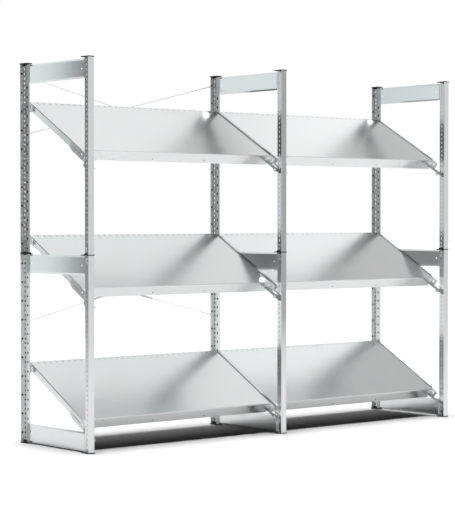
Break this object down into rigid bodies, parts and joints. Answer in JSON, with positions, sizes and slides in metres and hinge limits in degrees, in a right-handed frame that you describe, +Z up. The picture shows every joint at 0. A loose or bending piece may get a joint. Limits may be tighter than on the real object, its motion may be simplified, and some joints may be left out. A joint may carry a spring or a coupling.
{
  "type": "slanted shelving unit",
  "caption": "Free-standing steel display shelving with tilted trays in two bays, perforated T-section posts, cross ties, hooked brackets and diagonal rear braces.",
  "frame": {"origin": "on the floor under the middle of the whole unit", "axes": "+X to the right along the width seen from the front, +Y to the rear where the trays rise, +Z up"},
  "size_m": [2.6644, 0.633, 2.015],
  "materials": {
    "post_steel": "galvanised, satin",
    "tray_sheet": "galvanised, satin",
    "tie_sheet": "galvanised, satin",
    "bracket_sheet": "galvanised, satin",
    "strap_steel": "zinc plated",
    "screw_steel": "bright zinc",
    "brace_steel": "zinc plated",
    "turnbuckle_steel": "zinc plated",
    "dark_plastic": "matte"
  },
  "bodies": {
    "unit": {"brace_anchors": "brace_steel", "brace_rods": "brace_steel", "cap_left_front": "dark_plastic", "cap_left_rear": "dark_plastic", "cap_middle_front": "dark_plastic", "cap_middle_rear": "dark_plastic", "cap_right_front": "dark_plastic", "cap_right_rear": "dark_plastic", "foot_left_front": "dark_plastic", "foot_left_rear": "dark_plastic", "foot_middle_front": "dark_plastic", "foot_middle_rear": "dark_plastic", "foot_right_front": "dark_plastic", "foot_right_rear": "dark_plastic", "front_brackets_left_bottom": "bracket_sheet", "front_brackets_left_middle": "bracket_sheet", "front_brackets_left_top": "bracket_sheet", "front_brackets_right_bottom": "bracket_sheet", "front_brackets_right_middle": "bracket_sheet", "front_brackets_right_top": "bracket_sheet", "joint_plate_left_front": "dark_plastic", "joint_plate_left_rear": "dark_plastic", "joint_plate_middle_front": "dark_plastic", "joint_plate_middle_rear": "dark_plastic", "joint_plate_right_front": "dark_plastic", "joint_plate_right_rear": "dark_plastic", "post_lower_left_front": "post_steel", "post_lower_left_rear": "post_steel", "post_lower_middle_front": "post_steel", "post_lower_middle_rear": "post_steel", "post_lower_right_front": "post_steel", "post_lower_right_rear": "post_steel", "post_upper_left_front": "post_steel", "post_upper_left_rear": "post_steel", "post_upper_middle_front": "post_steel", "post_upper_middle_rear": "post_steel", "post_upper_right_front": "post_steel", "post_upper_right_rear": "post_steel", "rear_hooks": "bracket_sheet", "splice_screws": "screw_steel", "splice_straps": "strap_steel", "tie_left_bottom": "tie_sheet", "tie_left_middle": "tie_sheet", "tie_left_top": "tie_sheet", "tie_middle_bottom": "tie_sheet", "tie_middle_middle": "tie_sheet", "tie_middle_top": "tie_sheet", "tie_right_bottom": "tie_sheet", "tie_right_middle": "tie_sheet", "tie_right_top": "tie_sheet", "tray_left_bottom": "tray_sheet", "tray_left_middle": "tray_sheet", "tray_left_top": "tray_sheet", "tray_right_bottom": "tray_sheet", "tray_right_middle": "tray_sheet", "tray_right_top": "tray_sheet"},
    "turnbuckle_lower_falling": {"turnbuckle_lower_falling": "turnbuckle_steel"},
    "turnbuckle_lower_rising": {"turnbuckle_lower_rising": "turnbuckle_steel"},
    "turnbuckle_upper_falling": {"turnbuckle_upper_falling": "turnbuckle_steel"},
    "turnbuckle_upper_rising": {"turnbuckle_upper_rising": "turnbuckle_steel"}
  },
  "joints": [
    {"name": "turnbuckle_lower_falling_spin", "type": "hinge", "parent": "unit", "child": "turnbuckle_lower_falling", "pos_m": [-0.49425, 0.30355, 0.75575], "axis": [0.9711, 0, -0.2386], "continuous": true},
    {"name": "turnbuckle_lower_rising_spin", "type": "hinge", "parent": "unit", "child": "turnbuckle_lower_rising", "pos_m": [-0.81775, 0.31005, 0.75575], "axis": [0.9711, 0, 0.2386], "continuous": true},
    {"name": "turnbuckle_upper_falling_spin", "type": "hinge", "parent": "unit", "child": "turnbuckle_upper_falling", "pos_m": [-0.49425, 0.30355, 1.75625], "axis": [0.9711, 0, -0.2386], "continuous": true},
    {"name": "turnbuckle_upper_rising_spin", "type": "hinge", "parent": "unit", "child": "turnbuckle_upper_rising", "pos_m": [-0.81775, 0.31005, 1.75625], "axis": [0.9711, 0, 0.2386], "continuous": true}
  ]
}
